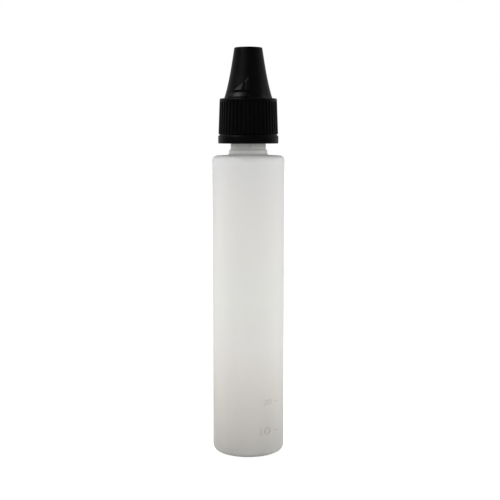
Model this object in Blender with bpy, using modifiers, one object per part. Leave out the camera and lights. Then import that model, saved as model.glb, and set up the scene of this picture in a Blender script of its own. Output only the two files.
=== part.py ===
"""Squeezable dropper bottle: blow-moulded body, pressed-in dropper tip, push-and-turn cap and tamper band.

Metres, +Z up. The origin is the centre of the base, on the surface that the bottle stands on. Every
piece is turned about the Z axis, which is also the axis of the cap's thread and of its push travel.
"""
import math

import bmesh
import bpy

# bottle body
BODY_RADIUS = 0.0140
BODY_WALL = 0.0009
BASE_WALL = 0.0011
PUSH_UP = 0.0012            # depth of the hollow under the base
STAND_INNER = 0.0086        # the bottle stands on a flat ring between these two radii
STAND_OUTER = 0.0116
SHOULDER_Z = 0.1165
SHOULDER_CORNER = 0.0017
SHOULDER_RISE = 0.0003      # the shoulder climbs this much towards the neck

# neck
NECK_TOP_Z = 0.1330
NECK_BORE = 0.00535
NECK_SHAFT = 0.0068
FOOT_BEAD = 0.0074          # rounded step where the neck meets the shoulder
FOOT_BEAD_TOP_Z = 0.1187
TAMPER_BEAD = 0.0079        # catches the tamper band from above
TAMPER_BEAD_Z = 0.1232

# thread between the neck and the inner cap, right-handed
THREAD_PITCH = 0.0032
THREAD_TURNS = 1.5
THREAD_START_Z = 0.1264     # middle of the neck's ridge at its lower end
NECK_CORE = 0.00655
NECK_CREST = 0.00725
CAP_ROOT = 0.00745
CAP_CREST = 0.00675
RIDGE_ROOT_HALF = 0.0006    # half heights of a ridge at its root and at its crest
RIDGE_CREST_HALF = 0.0003
RIDGE_SUNK = 0.0003         # how deep a ridge is rooted in its wall
RUN_OUT_STEPS = 4           # sections over which a ridge fades in and out

# dropper tip
TIP_PLUG = 0.0051
TIP_PLUG_BOTTOM_Z = 0.1240
TIP_FLANGE = 0.0065
TIP_FLANGE_Z = 0.1333
TIP_FLANGE_THICK = 0.0008
TIP_TOP_Z = 0.1539
TIP_BORE = 0.0043
ORIFICE = 0.0005

# inner cap
INNER_BOTTOM_Z = 0.1250
INNER_WALL = 0.0089
INNER_FLANGE = 0.01005
INNER_FLANGE_Z = 0.1270
INNER_PLATE_Z = 0.1344      # underside of the plate over the neck
INNER_PLATE_TOP_Z = 0.1358
INNER_CONE_FOOT = 0.0062
INNER_CONE_HEAD = 0.0036
INNER_TOP_Z = 0.1552
INNER_CONE_WALL = 0.0009
SEAL_PIN = 0.00032
SEAL_PIN_BOTTOM_Z = 0.1533

# tamper band
BAND_BOTTOM_Z = 0.1212
BAND_TOP_Z = 0.1243
BAND_RADIUS = 0.01165
BAND_WALL = 0.00135
WEB_BOTTOM_Z = 0.1219
WEB_THICK = 0.0009
WEB_INNER = 0.00735
BRIDGES = 8
BRIDGE_INNER = 0.00825
BRIDGE_OUTER = 0.00885
BRIDGE_TOP_Z = 0.1247
BRIDGE_ANGLE = math.radians(5)
BAND_STEP = 0.01125         # step inside the band's top, which the skirt's lip hangs into
BAND_STEP_DEPTH = 0.0007

# outer cap
PUSH_TRAVEL = 0.0004
OUTER_BOTTOM_Z = BAND_TOP_Z + PUSH_TRAVEL + 0.0001
OUTER_BOTTOM = 0.01152
OUTER_INNER = 0.01035
LIP = 0.01115               # lip below the skirt, which closes the gap above the band
LIP_DROP = 0.0007
LEDGE_Z = 0.1384            # flat step between the ribbed skirt and the cone
LEDGE = 0.01103
LEDGE_THICK = 0.0010
OUTER_TOP_Z = 0.1577
CONE_TOP = 0.00536
CONE_TAPER = 0.155          # growth of the cone's radius for each unit of height
CONE_FLARE = 0.00095        # what the flare adds at the cone's foot
CONE_FLARE_POWER = 3.3
CONE_WALL = 0.0010
SNAP_BEAD = 0.0097          # holds the outer cap on under the inner cap's flange
GRIP_GROOVES = 44
GROOVE_RADIUS = 0.00085
GROOVE_DEPTH = 0.00033

# drive lugs, between the two caps
LUGS = 12
LUG_INNER = 0.0067
LUG_OUTER = 0.0087
HANGING_LUG_INNER = 0.0079
HANGING_LUG_OUTER = 0.0094
LUG_ANGLE = math.radians(11)
LUG_HEIGHT = 0.0007
HANGING_LUG_HEIGHT = 0.0007

BODY_STEPS = 64
CAP_STEPS = 48
TIP_STEPS = 32
THREAD_STEPS = 32           # sections in one turn of thread
EDGE = 0.0003               # small moulded edge radius
MERGE = 0.00001
SHARP_ANGLE = math.radians(35)


def clear_scene():
    for obj in list(bpy.data.objects):
        bpy.data.objects.remove(obj)


def collection(name):
    made = bpy.data.collections.new(name)
    bpy.context.scene.collection.children.link(made)
    return made


def material(name, colour, roughness, alpha=1.0):
    made = bpy.data.materials.new(name)
    made.use_nodes = True
    shader = made.node_tree.nodes["Principled BSDF"]
    shader.inputs["Base Color"].default_value = (*colour, 1.0)
    shader.inputs["Roughness"].default_value = roughness
    shader.inputs["Metallic"].default_value = 0.0
    shader.inputs["Alpha"].default_value = alpha
    return made


def arc(centre_x, centre_z, radius, start_deg, end_deg, points):
    """Points on an arc in the XZ plane, angles counted from +X towards +Z."""
    span = math.radians(end_deg - start_deg) / (points - 1)
    angles = [math.radians(start_deg) + span * i for i in range(points)]
    return [(centre_x + radius * math.cos(a), centre_z + radius * math.sin(a)) for a in angles]


def turned(name, profile, steps, target, closed=False):
    """Turn a profile of (radius, z) points about Z. The profile runs down its outer side."""
    mesh = bpy.data.meshes.new(name)
    edges = [(i, i + 1) for i in range(len(profile) - 1)]
    if closed:
        edges.append((len(profile) - 1, 0))
    mesh.from_pydata([(x, 0.0, z) for x, z in profile], edges, [])
    obj = bpy.data.objects.new(name, mesh)
    target.objects.link(obj)
    screw = obj.modifiers.new("turned", "SCREW")
    screw.axis = "Z"
    screw.angle = math.tau
    screw.steps = steps
    screw.render_steps = steps
    screw.use_merge_vertices = True
    screw.merge_threshold = MERGE
    return obj


def combine(obj, tool, operation):
    tool.hide_render = True
    tool.display_type = "WIRE"
    boolean = obj.modifiers.new(operation.lower(), "BOOLEAN")
    boolean.operation = operation
    boolean.solver = "EXACT"
    boolean.object = tool


def settle(obj, finish):
    """Fix the modified shape as the object's own mesh, smooth with sharp edges where it turns a corner."""
    seen = obj.evaluated_get(bpy.context.evaluated_depsgraph_get())
    mesh = bpy.data.meshes.new_from_object(seen)
    obj.modifiers.clear()
    obj.data = mesh
    mesh.shade_smooth()
    mesh.set_sharp_from_angle(angle=SHARP_ANGLE)
    mesh.materials.clear()
    mesh.materials.append(finish)
    return obj


def thread_ridge(name, root, crest, start_turn, target):
    """A helical ridge from root to crest radius, sunk a little into its wall, fading at both ends."""
    sunk_root = root + math.copysign(RIDGE_SUNK, root - crest)
    section = [
        (sunk_root, THREAD_START_Z - RIDGE_ROOT_HALF),
        (crest, THREAD_START_Z - RIDGE_CREST_HALF),
        (crest, THREAD_START_Z + RIDGE_CREST_HALF),
        (sunk_root, THREAD_START_Z + RIDGE_ROOT_HALF),
    ]
    steps = int(THREAD_TURNS * THREAD_STEPS)
    bm = bmesh.new()
    first = [bm.verts.new((x * math.cos(start_turn), x * math.sin(start_turn), z)) for x, z in section]
    face = bm.faces.new(first)
    bmesh.ops.spin(
        bm,
        geom=[face, *face.edges, *face.verts],
        cent=(0.0, 0.0, 0.0),
        axis=(0.0, 0.0, 1.0),
        dvec=(0.0, 0.0, THREAD_PITCH / THREAD_STEPS),
        angle=THREAD_TURNS * math.tau,
        steps=steps,
    )
    bm.verts.index_update()
    for vert in bm.verts:
        radius = math.hypot(vert.co.x, vert.co.y)
        if abs(radius - crest) > abs(radius - sunk_root):
            continue
        step = vert.index // len(section)
        height = min(1.0, (min(step, steps - step) + 0.2) / RUN_OUT_STEPS)
        scale = (root + (crest - root) * height) / radius
        vert.co.x *= scale
        vert.co.y *= scale
    bmesh.ops.recalc_face_normals(bm, faces=bm.faces)
    mesh = bpy.data.meshes.new(name)
    bm.to_mesh(mesh)
    bm.free()
    obj = bpy.data.objects.new(name, mesh)
    target.objects.link(obj)
    return obj


def blocks_round(name, count, inner, outer, bottom, top, angle, offset, target):
    """Equal blocks in a circle, each an angle wide, as one tool object."""
    bm = bmesh.new()
    middle = (inner + outer) / 2
    for i in range(count):
        cube = bmesh.ops.create_cube(bm, size=1.0)["verts"]
        turn = offset + math.tau * i / count
        for vert in cube:
            along = middle + vert.co.x * (outer - inner)
            half = vert.co.y * 2 * along * math.tan(angle / 2)
            vert.co = (
                along * math.cos(turn) - half * math.sin(turn),
                along * math.sin(turn) + half * math.cos(turn),
                bottom + (vert.co.z + 0.5) * (top - bottom),
            )
    mesh = bpy.data.meshes.new(name)
    bm.to_mesh(mesh)
    bm.free()
    obj = bpy.data.objects.new(name, mesh)
    target.objects.link(obj)
    return obj


def make_bottle(parts, tools, finish):
    heel = BODY_RADIUS - STAND_OUTER
    inner_heel = heel - BODY_WALL
    inner_radius = BODY_RADIUS - BODY_WALL
    shoulder_inside = SHOULDER_Z - BODY_WALL
    inside = [
        (0.0, PUSH_UP + BASE_WALL),
        (STAND_INNER * 0.6, PUSH_UP * 0.6 + BASE_WALL),
        (STAND_INNER, BASE_WALL),
        *arc(STAND_OUTER, BASE_WALL + inner_heel, inner_heel, -90, 0, 4),
        *arc(BODY_RADIUS - SHOULDER_CORNER, SHOULDER_Z - SHOULDER_CORNER,
             SHOULDER_CORNER - BODY_WALL, 0, 90, 4),
        (NECK_BORE + 0.0012, shoulder_inside),
        (NECK_BORE, shoulder_inside + 0.0012),
        (NECK_BORE, NECK_TOP_Z),
    ]
    neck = [
        (NECK_CORE - EDGE, NECK_TOP_Z),
        (NECK_CORE, NECK_TOP_Z - EDGE),
        (NECK_CORE, TAMPER_BEAD_Z + 0.0015),
        (TAMPER_BEAD - EDGE, TAMPER_BEAD_Z + 0.0010),
        (TAMPER_BEAD, TAMPER_BEAD_Z + 0.0007),
        (TAMPER_BEAD, TAMPER_BEAD_Z),
        (NECK_SHAFT, TAMPER_BEAD_Z),
        (NECK_SHAFT, FOOT_BEAD_TOP_Z + 0.0006),
        *arc(FOOT_BEAD - 0.0006, FOOT_BEAD_TOP_Z - 0.0006, 0.0006, 90, 0, 3),
        (FOOT_BEAD, SHOULDER_Z + 0.0007),
        (FOOT_BEAD + 0.0003, SHOULDER_Z + 0.0004),
        (FOOT_BEAD + 0.0009, SHOULDER_Z + SHOULDER_RISE),
    ]
    outside = [
        *arc(BODY_RADIUS - SHOULDER_CORNER, SHOULDER_Z - SHOULDER_CORNER, SHOULDER_CORNER, 90, 0, 6),
        *arc(STAND_OUTER, heel, heel, 0, -90, 6),
        (STAND_INNER, 0.0),
        (STAND_INNER * 0.6, PUSH_UP * 0.6),
        (0.0, PUSH_UP),
    ]
    bottle = turned("bottle", inside + neck + outside, BODY_STEPS, parts)
    ridge = thread_ridge("neck_thread_tool", NECK_CORE, NECK_CREST, 0.0, tools)
    combine(bottle, ridge, "UNION")
    return settle(bottle, finish)


def make_dropper_tip(parts, finish):
    flange_top = TIP_FLANGE_Z + TIP_FLANGE_THICK
    inside = [
        (TIP_BORE, TIP_PLUG_BOTTOM_Z),
        (TIP_BORE, TIP_FLANGE_Z),
        (TIP_BORE * 0.86, flange_top + 0.0008),
        (0.0019, flange_top + 0.0052),
        (0.0012, TIP_TOP_Z - 0.0080),
        (ORIFICE, TIP_TOP_Z - 0.0020),
        (ORIFICE, TIP_TOP_Z),
    ]
    outside = [
        (0.00095, TIP_TOP_Z),
        (0.00125, TIP_TOP_Z - EDGE),
        (0.0019, TIP_TOP_Z - 0.0080),
        (0.0026, flange_top + 0.0052),
        (0.0033, flange_top + 0.0030),
        (0.0046, flange_top + 0.0008),
        (0.0049, flange_top),
        (TIP_FLANGE - EDGE, flange_top),
        (TIP_FLANGE, flange_top - EDGE),
        (TIP_FLANGE, TIP_FLANGE_Z),
        (TIP_PLUG, TIP_FLANGE_Z),
        (TIP_PLUG, TIP_PLUG_BOTTOM_Z + 0.0008),
        (TIP_PLUG - 0.0003, TIP_PLUG_BOTTOM_Z),
    ]
    return settle(turned("dropper_tip", inside + outside, TIP_STEPS, parts, closed=True), finish)


def make_inner_cap(parts, tools, finish):
    cone_inner_foot = INNER_CONE_FOOT - INNER_CONE_WALL
    cone_inner_head = INNER_CONE_HEAD - INNER_CONE_WALL
    head_underside = INNER_TOP_Z - INNER_CONE_WALL
    outside = [
        (0.0, INNER_TOP_Z),
        (INNER_CONE_HEAD - 2 * EDGE, INNER_TOP_Z),
        (INNER_CONE_HEAD, INNER_TOP_Z - 2 * EDGE),
        (INNER_CONE_FOOT, INNER_PLATE_TOP_Z),
        (INNER_WALL, INNER_PLATE_TOP_Z),
        (INNER_WALL, INNER_FLANGE_Z + 0.0010),
        (INNER_FLANGE, INNER_FLANGE_Z + 0.0004),
        (INNER_FLANGE, INNER_FLANGE_Z),
        (INNER_WALL, INNER_FLANGE_Z),
        (INNER_WALL, INNER_BOTTOM_Z),
    ]
    inside = [
        (CAP_ROOT, INNER_BOTTOM_Z),
        (CAP_ROOT, INNER_PLATE_Z),
        (cone_inner_foot, INNER_PLATE_Z),
        (cone_inner_head, head_underside),
        (SEAL_PIN, head_underside),
        (SEAL_PIN, SEAL_PIN_BOTTOM_Z),
        (0.0, SEAL_PIN_BOTTOM_Z),
    ]
    cap = turned("inner_cap", outside + inside, CAP_STEPS, parts)
    # half a turn round, the cap's ridge lies midway between the turns of the neck's ridge
    ridge = thread_ridge("cap_thread_tool", CAP_ROOT, CAP_CREST, math.pi, tools)
    combine(cap, ridge, "UNION")
    lugs = blocks_round("drive_lug_tool", LUGS, LUG_INNER, LUG_OUTER, INNER_PLATE_TOP_Z - EDGE,
                        INNER_PLATE_TOP_Z + LUG_HEIGHT, LUG_ANGLE, 0.0, tools)
    combine(cap, lugs, "UNION")
    return settle(cap, finish)


def cone_radius(z):
    """Outer radius of the cap's cone, which tapers evenly and flares out at its foot."""
    down = OUTER_TOP_Z - z
    share = down / (OUTER_TOP_Z - LEDGE_Z)
    return CONE_TOP + CONE_TAPER * down + CONE_FLARE * share ** CONE_FLARE_POWER


def grip_grooves(tools):
    """Upright rods round the skirt, leaning in with its taper, that cut the valleys between its ribs."""
    lean = math.atan2(OUTER_BOTTOM - LEDGE, LEDGE_Z - OUTER_BOTTOM_Z)
    height = LEDGE_Z - OUTER_BOTTOM_Z
    top_margin = 0.0012
    bm = bmesh.new()
    for i in range(GRIP_GROOVES):
        rod = bmesh.ops.create_cone(bm, cap_ends=True, segments=10, radius1=GROOVE_RADIUS,
                                    radius2=GROOVE_RADIUS, depth=height)["verts"]
        turn = math.tau * (i + 0.5) / GRIP_GROOVES
        for vert in rod:
            up = vert.co.z + height / 2 - top_margin
            out = OUTER_BOTTOM + GROOVE_RADIUS - GROOVE_DEPTH + vert.co.x - math.tan(lean) * up
            x = out * math.cos(turn) - vert.co.y * math.sin(turn)
            y = out * math.sin(turn) + vert.co.y * math.cos(turn)
            vert.co = (x, y, OUTER_BOTTOM_Z + up)
    mesh = bpy.data.meshes.new("grip_groove_tool")
    bm.to_mesh(mesh)
    bm.free()
    obj = bpy.data.objects.new("grip_groove_tool", mesh)
    tools.objects.link(obj)
    return obj


def make_outer_cap(parts, tools, finish):
    samples = 7
    heights = [LEDGE_Z + (OUTER_TOP_Z - EDGE - LEDGE_Z) * i / (samples - 1) for i in range(samples)]
    ceiling = OUTER_TOP_Z - CONE_WALL
    plate_underside = LEDGE_Z - LEDGE_THICK
    snap_z = INNER_FLANGE_Z - 0.0011
    lip_z = OUTER_BOTTOM_Z - LIP_DROP
    inside = [
        (OUTER_INNER, lip_z),
        (SNAP_BEAD, snap_z),
        (SNAP_BEAD, snap_z + 0.0006),
        (OUTER_INNER, snap_z + 0.0008),
        (OUTER_INNER, plate_underside),
        (cone_radius(LEDGE_Z) - CONE_WALL, plate_underside),
        *[(cone_radius(z) - CONE_WALL, z) for z in heights[1:-1]],
        (cone_radius(ceiling) - CONE_WALL, ceiling),
        (0.0, ceiling),
    ]
    outside = [
        (0.0, OUTER_TOP_Z),
        (CONE_TOP - EDGE, OUTER_TOP_Z),
        *[(cone_radius(z), z) for z in reversed(heights)],
        *arc(LEDGE - 0.00045, LEDGE_Z - 0.00045, 0.00045, 90, 0, 3),
        (OUTER_BOTTOM, OUTER_BOTTOM_Z),
        (LIP, OUTER_BOTTOM_Z),
        (LIP, lip_z),
    ]
    cap = turned("outer_cap", outside + inside, BODY_STEPS, parts)
    combine(cap, grip_grooves(tools), "DIFFERENCE")
    lugs = blocks_round("hanging_lug_tool", LUGS, HANGING_LUG_INNER, HANGING_LUG_OUTER,
                        plate_underside - HANGING_LUG_HEIGHT, plate_underside + EDGE, LUG_ANGLE,
                        math.pi / LUGS, tools)
    combine(cap, lugs, "UNION")
    return settle(cap, finish)


def make_tamper_ring(parts, tools, finish):
    inner = BAND_RADIUS - BAND_WALL
    web_top = WEB_BOTTOM_Z + WEB_THICK
    profile = [
        (WEB_INNER, WEB_BOTTOM_Z + EDGE),
        (WEB_INNER, web_top),
        (inner, web_top),
        (inner, BAND_TOP_Z - BAND_STEP_DEPTH),
        (BAND_STEP, BAND_TOP_Z - BAND_STEP_DEPTH),
        (BAND_STEP, BAND_TOP_Z),
        (BAND_RADIUS - EDGE, BAND_TOP_Z),
        (BAND_RADIUS, BAND_TOP_Z - EDGE),
        (BAND_RADIUS, BAND_BOTTOM_Z + EDGE),
        (BAND_RADIUS - EDGE, BAND_BOTTOM_Z),
        (inner, BAND_BOTTOM_Z),
        (inner, WEB_BOTTOM_Z),
        (WEB_INNER + EDGE, WEB_BOTTOM_Z),
    ]
    ring = turned("tamper_ring", profile, CAP_STEPS, parts, closed=True)
    bridges = blocks_round("bridge_tool", BRIDGES, BRIDGE_INNER, BRIDGE_OUTER, web_top - EDGE,
                           BRIDGE_TOP_Z, BRIDGE_ANGLE, 0.0, tools)
    combine(ring, bridges, "UNION")
    return settle(ring, finish)


def main():
    clear_scene()
    parts = collection("dropper_bottle")
    tools = collection("tools")
    milky = material("milky_polyethylene", (0.78, 0.78, 0.76), 0.38, alpha=0.85)
    tip = material("tip_polyethylene", (0.80, 0.80, 0.79), 0.40, alpha=0.90)
    black = material("black_polypropylene", (0.012, 0.012, 0.013), 0.42)
    inner_black = material("inner_polypropylene", (0.020, 0.020, 0.021), 0.50)
    make_bottle(parts, tools, milky)
    make_dropper_tip(parts, tip)
    make_tamper_ring(parts, tools, black)
    make_inner_cap(parts, tools, inner_black)
    make_outer_cap(parts, tools, black)


main()
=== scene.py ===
import math

import bmesh
import bpy
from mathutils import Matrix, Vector


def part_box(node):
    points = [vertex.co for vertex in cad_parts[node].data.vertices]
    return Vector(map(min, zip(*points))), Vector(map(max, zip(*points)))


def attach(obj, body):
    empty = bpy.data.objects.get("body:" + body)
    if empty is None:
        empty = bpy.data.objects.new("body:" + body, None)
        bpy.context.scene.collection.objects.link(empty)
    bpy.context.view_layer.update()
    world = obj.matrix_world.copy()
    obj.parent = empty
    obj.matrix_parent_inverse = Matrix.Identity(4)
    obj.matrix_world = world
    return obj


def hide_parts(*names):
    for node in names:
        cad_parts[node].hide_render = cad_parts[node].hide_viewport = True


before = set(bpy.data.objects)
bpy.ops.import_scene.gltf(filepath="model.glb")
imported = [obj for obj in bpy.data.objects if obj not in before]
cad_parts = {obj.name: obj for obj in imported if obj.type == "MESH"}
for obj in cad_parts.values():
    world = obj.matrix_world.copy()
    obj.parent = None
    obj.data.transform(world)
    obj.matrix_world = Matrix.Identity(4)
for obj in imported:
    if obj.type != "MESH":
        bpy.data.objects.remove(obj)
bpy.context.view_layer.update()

MM = 0.001
TURN = math.tau


def top_and_radius(node):
    """Height of a CAD node's top and its outer radius, in millimetres."""
    low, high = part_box(node)
    return high.z / MM, high.x / MM


NECK_TOP, BODY_RADIUS = top_and_radius("bottle")
NOZZLE_TOP, NOZZLE_FLANGE = top_and_radius("dropper_tip")
INNER_TOP, INNER_FLANGE = top_and_radius("inner_cap")
CAP_TOP, SKIRT_RADIUS = top_and_radius("outer_cap")
BAND_BRIDGE_TOP, BAND_RADIUS = top_and_radius("tamper_ring")
LIP_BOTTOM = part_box("outer_cap")[0].z / MM
BAND_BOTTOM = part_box("tamper_ring")[0].z / MM
INNER_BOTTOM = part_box("inner_cap")[0].z / MM
NOZZLE_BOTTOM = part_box("dropper_tip")[0].z / MM

BODY_SHOULDER = 116.5
BODY_WALL = 0.9
BASE_WALL = 1.1
HEEL_ROUNDING = 2.8
PUSH_UP = 1.2
NECK_BORE = 5.35
NECK_SHAFT = 6.8
FOOT_BEAD, FOOT_BEAD_TOP = 7.4, 118.75
TAMPER_BEAD, TAMPER_BEAD_BOTTOM = 7.9, 123.2

# one right-hand thread: a ridge on the neck, and one in the cap half a turn round from it
THREAD_PITCH = 3.2
THREAD_TURNS = 1.5
THREAD_START = 126.4
NECK_CORE, NECK_CREST = 6.55, 7.25
CAP_ROOT, CAP_CREST = 7.45, 6.75
RIDGE_HALF = 0.6

# nozzle and inner cap
NOZZLE_FLANGE_TOP = 134.1
NOZZLE_PLUG = 5.0
INNER_WALL = 8.9
INNER_PLATE, INNER_PLATE_TOP = 134.4, 135.8
INNER_FLANGE_BOTTOM, INNER_FLANGE_TOP = 127.0, 127.4
SEAL_PIN, SEAL_PIN_BOTTOM = 0.32, 153.3

# outer cap: a ribbed skirt up to a flat ledge, and a cone above it
LEDGE, LEDGE_RADIUS = 138.4, 11.03
LEDGE_WALL = 1.0
CONE_WALL = 1.0
CONE_HEAD, CONE_TAPER = 5.36, 0.155
CONE_FLARE, FLARE_POWER = 0.95, 3.3
SKIRT_INSIDE = 10.35
LIP, LIP_DROP = 11.15, 0.7
SKIRT_BOTTOM = LIP_BOTTOM + LIP_DROP
SNAP_BEAD, SNAP_BEAD_BOTTOM = 9.7, 125.9
GRIP_RIBS = 44
GROOVE_DEPTH, GROOVE_HALF = 0.40, 0.62

# drive lugs stand on the inner cap and hang in the outer one, each between two radii
LUGS = 12
LUG_HALF_DEG = 5.5
LUG_INNER, LUG_OUTER, LUG_HEIGHT = 6.75, 8.75, 0.7
HANGING_INNER, HANGING_OUTER, HANGING_HEIGHT = 8.35, 9.5, 0.6

BAND_TOP = 124.3
BAND_INSIDE = 10.3
BAND_STEP, BAND_STEP_DEPTH = 11.25, 0.7
WEB_BOTTOM, WEB_TOP, WEB_INNER = 121.9, 122.8, 7.35


# ---------------------------------------------------------------- shapes


def rounded(corners, closed=False, points=4):
    """An outline of (radius, height, rounding) corners as (radius, height) points, in metres. A rounding
    takes at most room of the straight on each side of its corner."""
    room = 0.48
    made = []
    count = len(corners)
    for i, (radius, height, rounding) in enumerate(corners):
        here = Vector((radius, height))
        if rounding <= 0 or (not closed and i in (0, count - 1)):
            made.append(here)
            continue
        before = Vector(corners[i - 1][:2]) - here
        after = Vector(corners[(i + 1) % count][:2]) - here
        start = here + before.normalized() * min(rounding, before.length * room)
        end = here + after.normalized() * min(rounding, after.length * room)
        for step in range(points + 1):
            t = step / points
            made.append(start * (1 - t) ** 2 + here * 2 * t * (1 - t) + end * t ** 2)
    return [(p.x * MM, p.y * MM) for p in made]


def rows(radius, bottom, top, spacing):
    """Unrounded corners one above the other, for a wall whose surface is shaped row by row."""
    count = max(2, round(abs(top - bottom) / spacing))
    return [(radius, bottom + (top - bottom) * i / count, 0) for i in range(count + 1)]


def turned(name, outline, segments, shape=None, closed=False):
    """A closed body made by turning an outline that runs down its outer side. shape(angle, radius,
    height) may move each point in its own plane, to cut ribs, threads and lugs."""
    mesh_points, faces, columns = [], [], []
    for s in range(segments):
        angle = TURN * s / segments
        column = []
        for i, (radius, height) in enumerate(outline):
            if radius < 1e-9 and s:
                column.append(columns[0][i])
                continue
            if shape and radius > 1e-9:
                radius, height = shape(angle, radius, height)
            column.append(len(mesh_points))
            mesh_points.append((radius * math.cos(angle), radius * math.sin(angle), height))
        columns.append(column)
    last = len(outline) if closed else len(outline) - 1
    for s in range(segments):
        here, there = columns[s], columns[(s + 1) % segments]
        for i in range(last):
            j = (i + 1) % len(outline)
            corners = [here[i], here[j], there[j], there[i]]
            faces.append([c for k, c in enumerate(corners) if c not in corners[:k]])
    mesh = bpy.data.meshes.new(name)
    mesh.from_pydata(mesh_points, [], faces)
    return piece(name, mesh)


def piece(name, mesh, sharp_deg=50):
    """Puts a mesh in the scene, shaded smooth except across its sharp edges."""
    mesh.shade_smooth()
    mesh.set_sharp_from_angle(angle=math.radians(sharp_deg))
    obj = bpy.data.objects.new(name, mesh)
    bpy.context.scene.collection.objects.link(obj)
    return obj


def smooth(value):
    """An even ease from 0 to 1."""
    value = min(1.0, max(0.0, value))
    return value * value * (3 - 2 * value)


def ridge_share(angle, height, start_turn):
    """How far the thread's ridge stands out at a point of the wall, from 0 to 1."""
    share = 0.0
    for lap in range(-1, 3):
        turns = (angle - start_turn) / TURN + lap
        if not 0 <= turns <= THREAD_TURNS:
            continue
        middle = THREAD_START + THREAD_PITCH * turns
        side = smooth((RIDGE_HALF - abs(height / MM - middle)) / (RIDGE_HALF * 0.6))
        run_out = smooth(min(turns, THREAD_TURNS - turns) * 10)
        share = max(share, side * run_out)
    return share


def near(value, target, slack=0.02):
    """Whether a length in metres is within slack, in millimetres, of a target in metres."""
    return abs(value - target) < slack * MM


def lug_share(angle, offset):
    """1 on a lug, 0 between lugs, with sloped flanks. The lugs stand at equal angles from offset."""
    pitch = 360 / LUGS
    off = abs((math.degrees(angle) - offset + pitch / 2) % pitch - pitch / 2)
    return smooth((LUG_HALF_DEG - off) / 1.2 + 0.5)


def blocks(name, count, inner, outer, bottom, top, width, rounding):
    """Small upright blocks in a circle, with rounded edges."""
    bm = bmesh.new()
    for i in range(count):
        made = bmesh.ops.create_cube(bm, size=1.0)["verts"]
        turn = TURN * i / count
        for vert in made:
            out = (inner + outer) / 2 + vert.co.x * (outer - inner)
            side = vert.co.y * width
            vert.co = Vector((
                out * math.cos(turn) - side * math.sin(turn),
                out * math.sin(turn) + side * math.cos(turn),
                bottom + (vert.co.z + 0.5) * (top - bottom),
            )) * MM
    bmesh.ops.bevel(bm, geom=bm.edges[:], offset=rounding * MM, segments=3, profile=0.5, affect="EDGES")
    mesh = bpy.data.meshes.new(name)
    bm.to_mesh(mesh)
    bm.free()
    return piece(name, mesh)


# ---------------------------------------------------------------- finishes


def colour(hex_code):
    """An sRGB hex colour as linear RGBA."""
    values = [int(hex_code[i:i + 2], 16) / 255 for i in (1, 3, 5)]
    linear = [v / 12.92 if v <= 0.04045 else ((v + 0.055) / 1.055) ** 2.4 for v in values]
    return (*linear, 1.0)


def add(tree, kind, wires=None, **settings):
    """Adds a node, sets its own settings and its sockets, and wires its inputs from other nodes."""
    node = tree.nodes.new(kind)
    for key, value in settings.items():
        if hasattr(node, key):
            setattr(node, key, value)
        else:
            node.inputs[key.replace("_", " ")].default_value = value
    for socket, source in (wires or {}).items():
        tree.links.new(source, node.inputs[socket])
    return node


def new_finish(name):
    """A material with its output and Principled shader, ready for its pattern."""
    made = bpy.data.materials.new(name)
    made.use_nodes = True
    tree = made.node_tree
    return made, tree, tree.nodes["Principled BSDF"]


def pattern(tree, size_mm, detail=3.0):
    """Noise whose features are size_mm across on the real piece, from object coordinates."""
    place = tree.nodes.get("place") or add(tree, "ShaderNodeTexCoord", name="place")
    return add(
        tree, "ShaderNodeTexNoise", {"Vector": place.outputs["Object"]},
        Scale=1 / (size_mm * MM), Detail=detail, Roughness=0.55,
    )


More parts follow.
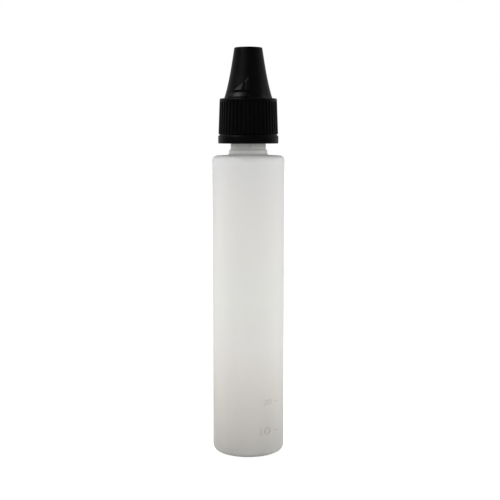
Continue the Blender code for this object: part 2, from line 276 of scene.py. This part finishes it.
def milky_polyethylene(name, tones_and_painted_shade, roughness, see_through):
    """Low-density polyethylene without pigment, moulded. Light scatters in it, so it looks milky and
    soft, and the mould leaves the surface satin with a faint waviness and a parting line.
    tones_and_painted_shade is pairs of height (mm) and colour. They are greyer and warmer towards the
    base and greyer at the neck, which also stands in for light that the model's even wall doesn't lose.
    They are warmer towards the base, and they carry painted shade and light: greyer towards the base as
    painted shade, lightest round the middle of the body as painted light, and greyer at the shoulder and
    neck as painted shade under the cap."""
    made, tree, shader = new_finish(name)
    wall = pattern(tree, 9.0, detail=2.0)
    place = tree.nodes["place"]
    up = add(tree, "ShaderNodeSeparateXYZ", {"Vector": place.outputs["Object"]})
    spread = 1.6 * MM
    wander = add(tree, "ShaderNodeMath", {0: wall.outputs["Fac"], 2: up.outputs["Z"]},
                 operation="MULTIPLY_ADD")
    wander.inputs[1].default_value = spread
    low, high = tones_and_painted_shade[0][0], tones_and_painted_shade[-1][0]
    share = add(tree, "ShaderNodeMapRange", {"Value": wander.outputs["Value"]},
                From_Min=low * MM + spread / 2, From_Max=high * MM + spread / 2)
    # this colour ramp by height carries painted shade and painted light onto the plastic's own colour
    tint = add(tree, "ShaderNodeValToRGB", {"Fac": share.outputs["Result"]})
    steps = tint.color_ramp.elements
    steps[0].color, steps[1].color = colour(tones_and_painted_shade[0][1]), colour(tones_and_painted_shade[-1][1])
    for height, tone in tones_and_painted_shade[1:-1]:
        steps.new((height - low) / (high - low)).color = colour(tone)
    # moulded figures stand proud of the wall, and painted shade makes them a little darker, for the light
    # their thicker plastic lets through less
    level = add(tree, "ShaderNodeCombineXYZ", {"X": up.outputs["X"], "Y": up.outputs["Y"]})
    out = add(tree, "ShaderNodeVectorMath", {0: level.outputs["Vector"]}, operation="LENGTH")
    figure_painted_shade = add(tree, "ShaderNodeMapRange", {"Value": out.outputs["Value"]},
                From_Min=(BODY_RADIUS + 0.03) * MM, From_Max=(BODY_RADIUS + 0.07) * MM,
                To_Min=1.0, To_Max=0.86)
    plastic = add(tree, "ShaderNodeVectorMath", {0: tint.outputs["Color"], "Scale": figure_painted_shade.outputs["Result"]},
                  operation="SCALE")
    tree.links.new(plastic.outputs["Vector"], shader.inputs["Base Color"])
    satin = pattern(tree, 2.5)
    gloss = add(tree, "ShaderNodeMapRange", {"Value": satin.outputs["Fac"]},
                To_Min=roughness - 0.04, To_Max=roughness + 0.06)
    tree.links.new(gloss.outputs["Result"], shader.inputs["Roughness"])
    blasted = pattern(tree, 0.35, detail=2.0)
    grain = add(tree, "ShaderNodeBump", {"Height": blasted.outputs["Fac"]},
                Strength=0.10, Distance=0.02 * MM)
    waves = add(tree, "ShaderNodeBump", {"Height": wall.outputs["Fac"], "Normal": grain.outputs["Normal"]},
                Strength=0.12, Distance=0.05 * MM)
    off_line = add(tree, "ShaderNodeMath", {0: up.outputs["Y"]}, operation="ABSOLUTE")
    line = add(tree, "ShaderNodeMapRange", {"Value": off_line.outputs["Value"]},
               interpolation_type="SMOOTHSTEP",
               From_Min=0.05 * MM, From_Max=0.35 * MM, To_Min=1.0, To_Max=0.0)
    parting = add(tree, "ShaderNodeBump",
                  {"Height": line.outputs["Result"], "Normal": waves.outputs["Normal"]},
                  Strength=0.5, Distance=0.06 * MM)
    tree.links.new(parting.outputs["Normal"], shader.inputs["Normal"])
    shader.inputs["IOR"].default_value = 1.51
    shader.inputs["Subsurface Weight"].default_value = 1.0
    shader.inputs["Subsurface Radius"].default_value = (1.0, 0.97, 0.90)
    shader.inputs["Subsurface Scale"].default_value = 2.2 * MM
    shader.inputs["Transmission Weight"].default_value = see_through
    return made


def black_polypropylene(name, body, scuff, roughness, grain_mm, grain_depth):
    """Polypropylene with carbon black, injection-moulded. Nearly no colour of its own, and a satin
    sheen broken by the fine spark-eroded grain of the mould."""
    made, tree, shader = new_finish(name)
    flow = pattern(tree, 3.0)
    tint = add(tree, "ShaderNodeValToRGB", {"Fac": flow.outputs["Fac"]})
    tint.color_ramp.elements[0].position = 0.40
    tint.color_ramp.elements[0].color = colour(body)
    tint.color_ramp.elements[1].position = 0.75
    tint.color_ramp.elements[1].color = colour(scuff)
    tree.links.new(tint.outputs["Color"], shader.inputs["Base Color"])
    gloss = add(tree, "ShaderNodeMapRange", {"Value": flow.outputs["Fac"]},
                To_Min=roughness - 0.05, To_Max=roughness + 0.05)
    tree.links.new(gloss.outputs["Result"], shader.inputs["Roughness"])
    eroded = pattern(tree, grain_mm, detail=2.0)
    grain = add(tree, "ShaderNodeBump", {"Height": eroded.outputs["Fac"]},
                Strength=0.35, Distance=grain_depth * MM)
    tree.links.new(grain.outputs["Normal"], shader.inputs["Normal"])
    shader.inputs["IOR"].default_value = 1.49
    return made


def dress(obj, finish, body, slot, *nodes):
    """Gives a piece its finish, and says what it rides on and which CAD nodes it stands for."""
    obj.data.materials.clear()
    obj.data.materials.append(finish)
    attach(obj, body)
    if nodes:
        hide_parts(*nodes)


# ---------------------------------------------------------------- bottle


def neck_thread(angle, radius, height):
    """The thread outside the neck."""
    if near(radius, NECK_CORE * MM):
        radius += (NECK_CREST - NECK_CORE) * MM * ridge_share(angle, height, 0.0)
    return radius, height


def make_body():
    """The body, shoulder and neck, outside and inside, as one blown wall."""
    inside_radius = BODY_RADIUS - BODY_WALL
    inside = [
        (0, PUSH_UP + BASE_WALL, 0),
        (8.2, 1.15, 2.2),
        (inside_radius, 1.0, 1.9),
        *rows(inside_radius, 6, 110, 13),
        (inside_radius, BODY_SHOULDER - BODY_WALL, 1.3),
        (6.0, BODY_SHOULDER - BODY_WALL + 0.1, 1.0),
        (NECK_BORE, BODY_SHOULDER + 1.0, 0.5),
        (NECK_BORE, NECK_TOP, 0.15),
    ]
    neck = [
        (NECK_CORE, NECK_TOP, 0.3),
        *rows(NECK_CORE, NECK_TOP - 0.6, 125.0, 0.12),
        (NECK_CORE, 124.7, 0.2),
        (TAMPER_BEAD, TAMPER_BEAD_BOTTOM + 0.9, 0.35),
        (TAMPER_BEAD, TAMPER_BEAD_BOTTOM, 0.25),
        (NECK_SHAFT, TAMPER_BEAD_BOTTOM, 0.2),
        (NECK_SHAFT, FOOT_BEAD_TOP, 0.5),
        (FOOT_BEAD, FOOT_BEAD_TOP, 0.45),
        (FOOT_BEAD, FOOT_BEAD_TOP - 1.6, 0.3),
        (8.0, BODY_SHOULDER + 0.3, 0.7),
    ]
    outside = [
        (BODY_RADIUS, BODY_SHOULDER, 2.0),
        *rows(BODY_RADIUS, 112, 5, 13),
        (BODY_RADIUS, 0, HEEL_ROUNDING),
        (8.6, 0, 0.5),
        (8.0, PUSH_UP * 0.45, 1.2),
        (0, PUSH_UP, 0),
    ]
    return turned("bottle_body", rounded(inside + neck + outside, points=6), 256, neck_thread)


def bent_round(name, bm, azimuth_deg, height, relief):
    """Bends a flat relief round the body's wall, so that it stands a little proud of it."""
    for vert in bm.verts:
        radius = (BODY_RADIUS + (relief if vert.co.z > 0 else -0.25)) * MM
        turn = math.radians(azimuth_deg - 90) + vert.co.x / (BODY_RADIUS * MM)
        vert.co = (radius * math.cos(turn), radius * math.sin(turn), height * MM + vert.co.y)
    mesh = bpy.data.meshes.new(name)
    bm.to_mesh(mesh)
    bm.free()
    return piece(name, mesh, sharp_deg=30)


def moulded_figures(text, size, stretch, azimuth_deg, height, relief):
    """Graduation figures as a flat relief, widened by stretch and bent round the wall."""
    face = bpy.data.curves.new("figures_" + text, "FONT")
    face.body = text
    face.size = size * MM
    face.space_character = 0.85
    face.align_x = "CENTER"
    face.align_y = "CENTER"
    face.extrude = 0.5 * MM
    face.resolution_u = 6
    flat = bpy.data.objects.new("flat_figures", face)
    bpy.context.scene.collection.objects.link(flat)
    bpy.context.view_layer.update()
    mesh = bpy.data.meshes.new_from_object(flat.evaluated_get(bpy.context.evaluated_depsgraph_get()))
    bpy.data.objects.remove(flat)
    bm = bmesh.new()
    bm.from_mesh(mesh)
    bmesh.ops.remove_doubles(bm, verts=bm.verts[:], dist=0.002 * MM)
    bmesh.ops.scale(bm, vec=(stretch, 1, 1), verts=bm.verts[:])
    return bent_round("figures_" + text, bm, azimuth_deg, height, relief)


def graduation(width, azimuth_deg, height, relief):
    """A short level line beside the figures."""
    bm = bmesh.new()
    bmesh.ops.create_cube(bm, size=1.0)
    bmesh.ops.scale(bm, vec=Vector((width, 0.4, 1.0)) * MM, verts=bm.verts[:])
    across = [e for e in bm.edges if abs((e.verts[0].co - e.verts[1].co).x) > 1e-6]
    bmesh.ops.subdivide_edges(bm, edges=across, cuts=7)
    return bent_round("graduation", bm, azimuth_deg, height, relief)


def join_to(body, reliefs):
    """Makes moulded reliefs one solid with the body, so that light passes through both as one."""
    for relief in reliefs:
        union = body.modifiers.new("moulded_in", "BOOLEAN")
        union.operation = "UNION"
        union.solver = "EXACT"
        union.object = relief
    bpy.context.view_layer.update()
    joined = bpy.data.meshes.new_from_object(body.evaluated_get(bpy.context.evaluated_depsgraph_get()))
    body.modifiers.clear()
    body.data = joined
    for relief in reliefs:
        bpy.data.objects.remove(relief)
    joined.shade_smooth()
    joined.set_sharp_from_angle(angle=math.radians(50))
    return body


# ---------------------------------------------------------------- closure


def plug_rib(height):
    """A low round rib that grips the neck's bore."""
    return [
        (NOZZLE_PLUG, height + 0.3, 0.1),
        (NOZZLE_PLUG + 0.12, height, 0.15),
        (NOZZLE_PLUG, height - 0.3, 0.1),
    ]


def make_nozzle():
    """The press-in plug with its flange and long tapered nozzle, open right through."""
    flange_top = NOZZLE_FLANGE_TOP
    inside = [
        (4.3, NOZZLE_BOTTOM, 0.2),
        (4.3, flange_top - 0.8, 0.6),
        (3.7, flange_top + 0.8, 1.2),
        (1.9, flange_top + 5.2, 2.0),
        (1.2, NOZZLE_TOP - 8, 2.0),
        (0.5, NOZZLE_TOP - 2, 0.6),
        (0.5, NOZZLE_TOP, 0.1),
    ]
    outside = [
        (1.15, NOZZLE_TOP, 0.22),
        (1.9, NOZZLE_TOP - 8, 2.5),
        (2.6, flange_top + 5.2, 2.0),
        (3.3, flange_top + 3.0, 1.2),
        (4.7, flange_top, 0.5),
        (NOZZLE_FLANGE, flange_top, 0.22),
        (NOZZLE_FLANGE, flange_top - 0.8, 0.15),
        (NOZZLE_PLUG, flange_top - 0.8, 0.1),
        *plug_rib(flange_top - 2.5),
        *plug_rib(flange_top - 5.5),
        (NOZZLE_PLUG, NOZZLE_BOTTOM + 0.8, 0.3),
        (4.75, NOZZLE_BOTTOM, 0.1),
    ]
    return turned("dropper_nozzle", rounded(inside + outside, closed=True), 128, closed=True)


def inner_cap_relief(angle, radius, height):
    """The thread inside the inner cap and the drive lugs on its plate."""
    if near(radius, CAP_ROOT * MM) and height < (INNER_PLATE - 0.4) * MM:
        radius -= (CAP_ROOT - CAP_CREST) * MM * ridge_share(angle, height, math.pi)
    if near(height, INNER_PLATE_TOP * MM) and LUG_INNER * MM < radius < LUG_OUTER * MM:
        edge = smooth(min(radius / MM - LUG_INNER, LUG_OUTER - radius / MM) / 0.2)
        height += LUG_HEIGHT * MM * edge * lug_share(angle, 0.0)
    return radius, height


def make_inner_cap():
    """The threaded cap over the neck, with a cone over the nozzle and a pin that seals its hole."""
    cone_ceiling = SEAL_PIN_BOTTOM + 1.0
    outside = [
        (0, INNER_TOP, 0),
        (3.5, INNER_TOP, 0.6),
        (6.15, INNER_PLATE_TOP + 0.2, 0.3),
        *[(6.6 + 0.2 * i, INNER_PLATE_TOP, 0) for i in range(12)],
        (INNER_WALL, INNER_PLATE_TOP, 0.2),
        (INNER_WALL, INNER_FLANGE_TOP + 0.6, 0.2),
        (INNER_FLANGE, INNER_FLANGE_TOP, 0.15),
        (INNER_FLANGE, INNER_FLANGE_BOTTOM, 0.1),
        (INNER_WALL, INNER_FLANGE_BOTTOM, 0.15),
        (INNER_WALL, INNER_BOTTOM, 0.2),
    ]
    inside = [
        (CAP_ROOT, INNER_BOTTOM, 0.2),
        *rows(CAP_ROOT, INNER_BOTTOM + 0.3, INNER_PLATE - 0.6, 0.12),
        (CAP_ROOT, INNER_PLATE, 0.3),
        (5.3, INNER_PLATE, 0.4),
        (2.7, cone_ceiling, 0.5),
        (0.5, cone_ceiling, 0.15),
        (SEAL_PIN, SEAL_PIN_BOTTOM, 0.1),
        (0, SEAL_PIN_BOTTOM, 0),
    ]
    return turned("inner_cap_moulding", rounded(outside + inside), 240, inner_cap_relief)


def cone_radius(height):
    """Outer radius of the cap's cone, which tapers evenly and flares out at its foot."""
    down = CAP_TOP - height
    return CONE_HEAD + CONE_TAPER * down + CONE_FLARE * (down / (CAP_TOP - LEDGE)) ** FLARE_POWER


def skirt_radius(height):
    """Outer radius of the skirt across its ribs, which narrows a little towards the ledge."""
    share = (height - SKIRT_BOTTOM) / (LEDGE - SKIRT_BOTTOM)
    return SKIRT_RADIUS + (LEDGE_RADIUS - SKIRT_RADIUS) * share


def grip_relief(angle, radius, height):
    """The valleys between the ribs of the skirt, and the lugs that hang inside it."""
    if near(radius, skirt_radius(height / MM) * MM, 0.03) and height / MM < LEDGE - 0.4:
        pitch = TURN * SKIRT_RADIUS / GRIP_RIBS
        across = abs((angle * GRIP_RIBS / TURN) % 1 - 0.5) * pitch
        valley = math.cos(min(1.0, across / GROOVE_HALF) * math.pi / 2) ** 1.5
        fade = smooth((LEDGE - 1.0 - height / MM) / 0.5)
        radius -= GROOVE_DEPTH * MM * valley * fade
    if near(height, (LEDGE - LEDGE_WALL) * MM) and HANGING_INNER * MM < radius < HANGING_OUTER * MM:
        edge = smooth(min(radius / MM - HANGING_INNER, HANGING_OUTER - radius / MM) / 0.15)
        height -= HANGING_HEIGHT * MM * edge * lug_share(angle, 180 / LUGS)
    return radius, height


def make_outer_cap():
    """The hollow cone and ribbed skirt that the hand pushes and turns."""
    cone_rows = [CAP_TOP - 0.9 - 1.2 * i for i in range(15)]
    groove_ends = [LEDGE - 0.9 - 0.1 * i for i in range(8)]
    groove_rows = [LEDGE - 1.7 - 1.25 * i for i in range(10)]
    outside = [
        (0, CAP_TOP - 0.18, 0),
        (0.55, CAP_TOP - 0.18, 0.1),
        (0.9, CAP_TOP - 0.3, 0.15),
        (1.5, CAP_TOP - 0.3, 0.3),
        (2.1, CAP_TOP, 0.3),
        (cone_radius(CAP_TOP), CAP_TOP, 0.35),
        *[(cone_radius(h), h, 0) for h in cone_rows],
        (cone_radius(LEDGE), LEDGE, 0.25),
        (LEDGE_RADIUS, LEDGE, 0.45),
        *[(skirt_radius(h), h, 0) for h in groove_ends + groove_rows],
        (SKIRT_RADIUS, SKIRT_BOTTOM, 0.08),
        (LIP, SKIRT_BOTTOM, 0.05),
        (LIP, LIP_BOTTOM, 0.12),
    ]
    cone_ceiling = CAP_TOP - CONE_WALL
    inside = [
        (SKIRT_INSIDE, LIP_BOTTOM, 0.15),
        (SNAP_BEAD, SNAP_BEAD_BOTTOM, 0.2),
        (SNAP_BEAD, SNAP_BEAD_BOTTOM + 0.6, 0.15),
        (SKIRT_INSIDE, SNAP_BEAD_BOTTOM + 0.8, 0.2),
        (SKIRT_INSIDE, LEDGE - LEDGE_WALL, 0.3),
        *[(9.8 - 0.13 * i, LEDGE - LEDGE_WALL, 0) for i in range(12)],
        *[(cone_radius(h) - CONE_WALL, h, 0) for h in reversed(cone_rows[1:])],
        (cone_radius(cone_ceiling) - CONE_WALL, cone_ceiling, 0.3),
        (0, cone_ceiling, 0),
    ]
    return turned("outer_cap_moulding", rounded(outside + inside), GRIP_RIBS * 10, grip_relief)


def raised_facet(bm, corners, low_lift, high_lift):
    """A thin raised plate on the cone with softened edges, proud most at its lower edge. corners are
    (azimuth, height) of its bottom left, bottom right, top right and top left."""
    # the outermost points go under the cone's surface, and the next two round the plate's edge
    shares = [0, 0, 0.04, 0.10, *[0.1 + 0.8 * i / 12 for i in range(1, 12)], 0.90, 0.96, 1, 1]
    rise = [-1, 0.3, 0.8, *[1] * (len(shares) - 6), 0.8, 0.3, -1]
    bottom_left, bottom_right, top_right, top_left = (Vector(c) for c in corners)
    grid = []
    for v, v_rise in zip(shares, rise):
        row = []
        for u, u_rise in zip(shares, rise):
            low, high = bottom_left.lerp(bottom_right, u), top_left.lerp(top_right, u)
            azimuth, height = low.lerp(high, v)
            lift = (low_lift + (high_lift - low_lift) * v) * min(u_rise, v_rise)
            radius = cone_radius(height) + (lift if lift > 0 else -0.3)
            turn = math.radians(azimuth - 90)
            row.append(bm.verts.new(Vector((radius * math.cos(turn), radius * math.sin(turn), height)) * MM))
        grid.append(row)
    for low, high in zip(grid, grid[1:]):
        for i in range(len(low) - 1):
            bm.faces.new((low[i], low[i + 1], high[i + 1], high[i]))
    rim = grid[0] + [row[-1] for row in grid[1:]] + grid[-1][-2::-1] + [row[0] for row in grid[-2:0:-1]]
    bm.faces.new(rim[::-1])


def thumb_mark():
    """A plain raised mark low on the cone, felt by the thumb: three plates that make a triangle."""
    bm = bmesh.new()
    foot, split, side, top = LEDGE + 0.3, 140.7, 144.2, 146.6
    raised_facet(bm, [(-57, foot), (3, foot), (3, split - 0.15), (-47, split - 0.15)], 0.60, 0.15)
    raised_facet(bm, [(-44, split + 0.25), (-13, split + 0.25), (-13, side), (-16, side - 0.4)], 0.60, 0.12)
    raised_facet(bm, [(-9, split + 0.25), (4, split + 0.25), (3, top), (-9, side + 0.3)], 0.55, 0.10)
    bmesh.ops.recalc_face_normals(bm, faces=bm.faces)
    mesh = bpy.data.meshes.new("thumb_mark")
    bm.to_mesh(mesh)
    bm.free()
    return piece("thumb_mark", mesh)


def make_band():
    """The tamper band, with the step that the skirt's lip hangs into and the web that the neck's bead
    holds down."""
    outline = [
        (WEB_INNER, WEB_BOTTOM + 0.05, 0.3),
        (WEB_INNER, WEB_TOP, 0.2),
        (BAND_INSIDE, WEB_TOP, 0.3),
        (BAND_INSIDE, BAND_TOP - BAND_STEP_DEPTH, 0.15),
        (BAND_STEP, BAND_TOP - BAND_STEP_DEPTH, 0.1),
        (BAND_STEP, BAND_TOP, 0.03),
        (BAND_RADIUS - 0.25, BAND_TOP, 0.05),
        (BAND_RADIUS, BAND_TOP - 0.26, 0.10),
        (BAND_RADIUS, BAND_BOTTOM, 0.3),
        (BAND_INSIDE, BAND_BOTTOM, 0.2),
        (BAND_INSIDE, WEB_BOTTOM, 0.2),
        (WEB_INNER + 0.25, WEB_BOTTOM, 0.2),
    ]
    return turned("tamper_band", rounded(outline, closed=True), 256, closed=True)


# ---------------------------------------------------------------- stage, light and camera


def make_stage():
    """A pale light table: a white sheet, lit a little from below so that it shows no grey."""
    floor = bpy.data.meshes.new("floor")
    bm = bmesh.new()
    bmesh.ops.create_circle(bm, cap_ends=True, segments=96, radius=3.0)
    bmesh.ops.translate(bm, vec=(0, 0, -0.02 * MM), verts=bm.verts[:])
    bm.to_mesh(floor)
    bm.free()
    obj = piece("floor", floor)
    made, tree, shader = new_finish("white_opal_sheet")
    fibres = pattern(tree, 0.8)
    tint = add(tree, "ShaderNodeValToRGB", {"Fac": fibres.outputs["Fac"]})
    tint.color_ramp.elements[0].color = colour("#f4f4f3")
    tint.color_ramp.elements[1].color = colour("#fafaf9")
    tree.links.new(tint.outputs["Color"], shader.inputs["Base Color"])
    shader.inputs["Roughness"].default_value = 0.9
    shader.inputs["Specular IOR Level"].default_value = 0.1
    shader.inputs["Emission Color"].default_value = colour("#ffffff")
    shader.inputs["Emission Strength"].default_value = 0.55
    floor.materials.append(made)
    obj.visible_glossy = False
    obj.visible_diffuse = False


def softbox(name, centre, size, power, aim):
    """A rectangular light, its size in metres and its power in watts, turned towards aim."""
    data = bpy.data.lights.new(name, "AREA")
    data.shape = "RECTANGLE"
    data.size, data.size_y = size
    data.energy = power
    obj = bpy.data.objects.new(name, data)
    obj.location = centre
    obj.rotation_euler = (Vector(aim) - Vector(centre)).to_track_quat("-Z", "Y").to_euler()
    bpy.context.scene.collection.objects.link(obj)
    return obj


def light_studio():
    """A white room that is brightest behind the bottle and dim below it, with a flood on each side and
    three softboxes. What the bottle mirrors is much darker in front, as when the camera stands in a
    dark opening of the room."""
    world = bpy.data.worlds.new("white_room")
    bpy.context.scene.world = world
    world.use_nodes = True
    tree = world.node_tree
    tree.nodes.clear()
    towards = add(tree, "ShaderNodeTexCoord")
    part = add(tree, "ShaderNodeSeparateXYZ", {"Vector": towards.outputs["Generated"]})
    sideways = add(tree, "ShaderNodeMath", {0: part.outputs["X"]}, operation="ABSOLUTE")
    depth = add(tree, "ShaderNodeMapRange", {"Value": part.outputs["Y"]},
                From_Min=-1.0, From_Max=1.0, To_Min=1.04, To_Max=1.42)
    walls = add(tree, "ShaderNodeMath", {0: sideways.outputs["Value"], 2: depth.outputs["Result"]},
                operation="MULTIPLY_ADD")
    walls.inputs[1].default_value = 0.14
    up = add(tree, "ShaderNodeMapRange", {"Value": part.outputs["Z"]}, From_Min=-1.0, From_Max=1.0)
    height = add(tree, "ShaderNodeValToRGB", {"Fac": up.outputs["Result"]})
    levels = height.color_ramp.elements
    levels[0].position, levels[0].color = 0.35, (0.30, 0.30, 0.30, 1)
    levels[1].position, levels[1].color = 0.55, (1.0, 1.0, 1.0, 1)
    ceiling = levels.new(0.85)
    ceiling.color = (0.50, 0.50, 0.50, 1)
    gleam = add(tree, "ShaderNodeMapRange", {"Value": part.outputs["Y"]},
                interpolation_type="SMOOTHSTEP",
                From_Min=-0.2, From_Max=1.0, To_Min=0.002, To_Max=0.34)
    white = colour("#ffffff")
    fill = add(tree, "ShaderNodeBackground", {"Color": height.outputs["Color"],
                                              "Strength": walls.outputs["Value"]})
    mirrored = add(tree, "ShaderNodeBackground", {"Strength": gleam.outputs["Result"]}, Color=white)
    seen = add(tree, "ShaderNodeBackground", Color=white, Strength=1.0)
    rays = add(tree, "ShaderNodeLightPath")
    soft = add(tree, "ShaderNodeMixShader", {0: rays.outputs["Is Glossy Ray"],
                                             1: fill.outputs[0], 2: mirrored.outputs[0]})
    both = add(tree, "ShaderNodeMixShader", {0: rays.outputs["Is Camera Ray"],
                                             1: soft.outputs[0], 2: seen.outputs[0]})
    add(tree, "ShaderNodeOutputWorld", {"Surface": both.outputs[0]})
    for name, side, power in (("flood_left", -1, 0.20), ("flood_right", 1, 0.22)):
        flood = softbox(name, (side * 0.20, -0.12, 0.06), (0.10, 0.12), power, aim=(0, 0, 0.065))
        flood.visible_glossy = False
    softbox("softbox_high", (-0.32, -0.40, 0.34), (0.30, 0.20), 0.033, aim=(0, 0, 0.13))
    edge = softbox("softbox_right", (0.33, 0.04, 0.36), (0.10, 0.10), 0.035, aim=(0, 0, 0.13))
    edge.visible_diffuse = False
    softbox("softbox_mark", (-0.21, -0.08, 0.41), (0.14, 0.14), 0.18, aim=(0, 0, 0.14))


def place_camera():
    """A camera about as high as the tamper band, looking a little down at the whole bottle."""
    data = bpy.data.cameras.new("camera")
    data.sensor_width = 36.0
    data.lens = 72.0
    data.clip_start = 0.01
    obj = bpy.data.objects.new("camera", data)
    obj.location = (0.00066, -0.3892, 0.1252)
    obj.rotation_euler = (math.radians(83.33), 0.0, 0.0)
    bpy.context.scene.collection.objects.link(obj)
    bpy.context.scene.camera = obj


# ---------------------------------------------------------------- assembly

# the body's tones are painted shade and light: darker towards the base, lightest round 62 mm, darker at the
# shoulder (116.2 mm) and under the tamper band (119 to 121 mm)
milky = milky_polyethylene("milky_polyethylene", [
    (0, "#bcbab7"), (10, "#cdcac5"), (24, "#dedad3"), (43, "#f4eee6"),
    (62, "#fcf5ea"), (84, "#f4efe7"), (114.4, "#e5e4e2"), (116.2, "#c6c6c4"),
    (117.4, "#dbdbd9"), (119.3, "#c0c0be"), (120.8, "#a6a6a5"), (123.2, "#cacac8"), (134, "#cacac8"),
], roughness=0.38, see_through=0.10)
nozzle_milky = milky_polyethylene(
    "nozzle_polyethylene", [(124, "#eaeae7"), (154, "#f1f1ee")], roughness=0.38, see_through=0.15,
)
black = black_polypropylene(
    "black_polypropylene", "#020202", "#050505", roughness=0.37, grain_mm=0.18, grain_depth=0.02,
)
inner_black = black_polypropylene(
    "inner_black_polypropylene", "#0a0a0b", "#101011", roughness=0.50, grain_mm=0.25, grain_depth=0.03,
)

place_camera()
light_studio()
make_stage()

body = join_to(make_body(), [
    moulded_figures("10", size=4.4, stretch=1.55, azimuth_deg=26.5, height=10.3, relief=0.18),
    moulded_figures("20", size=3.3, stretch=1.3, azimuth_deg=32.0, height=21.7, relief=0.14),
    graduation(width=2.6, azimuth_deg=50.0, height=10.2, relief=0.14),
    graduation(width=2.2, azimuth_deg=52.0, height=21.7, relief=0.10),
])
dress(body, milky, "bottle", "milky_body", "bottle")
dress(make_nozzle(), nozzle_milky, "bottle", "milky_tip", "dropper_tip")
dress(make_band(), black, "tamper_ring", "black_shell", "tamper_ring")
bridges = blocks("band_bridges", count=8, inner=8.25, outer=8.85, bottom=WEB_TOP - 0.3,
                 top=BAND_BRIDGE_TOP, width=0.75, rounding=0.08)
dress(bridges, black, "tamper_ring", "black_shell")
dress(make_inner_cap(), inner_black, "inner_cap", "black_inner", "inner_cap")
dress(make_outer_cap(), black, "outer_cap", "black_shell", "outer_cap")
dress(thumb_mark(), black, "outer_cap", "black_shell")

bpy.context.scene.view_settings.view_transform = "Standard"
